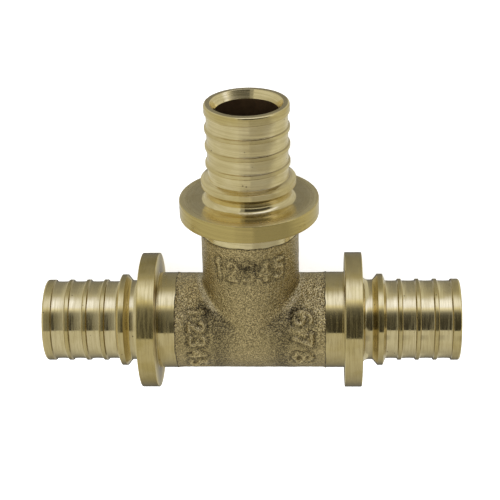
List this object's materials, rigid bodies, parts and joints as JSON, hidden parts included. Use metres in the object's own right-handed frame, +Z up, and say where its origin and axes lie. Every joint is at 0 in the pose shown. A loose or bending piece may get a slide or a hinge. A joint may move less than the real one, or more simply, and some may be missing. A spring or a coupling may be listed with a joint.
{
  "type": "pipe tee",
  "caption": "Pipe tee of cast and turned brass with a ribbed spigot and a collar on each of its three arms, for expanded plastic pipe held by sliding sleeves.",
  "frame": {"origin": "crossing of the run's axis and the branch's axis, in the middle of the run's bore", "axes": "+X along the run, +Y along the branch towards its end, +Z up, square to both axes, with the tee lying on the rims of its three collars"},
  "size_m": [0.0686, 0.0499, 0.0224],
  "materials": {
    "brass": "turned bright on the spigots, collars and bands, and dull, grainy as-cast skin on the body between them"
  },
  "bodies": {
    "root": {"tee_body": "brass"}
  },
  "joints": []
}
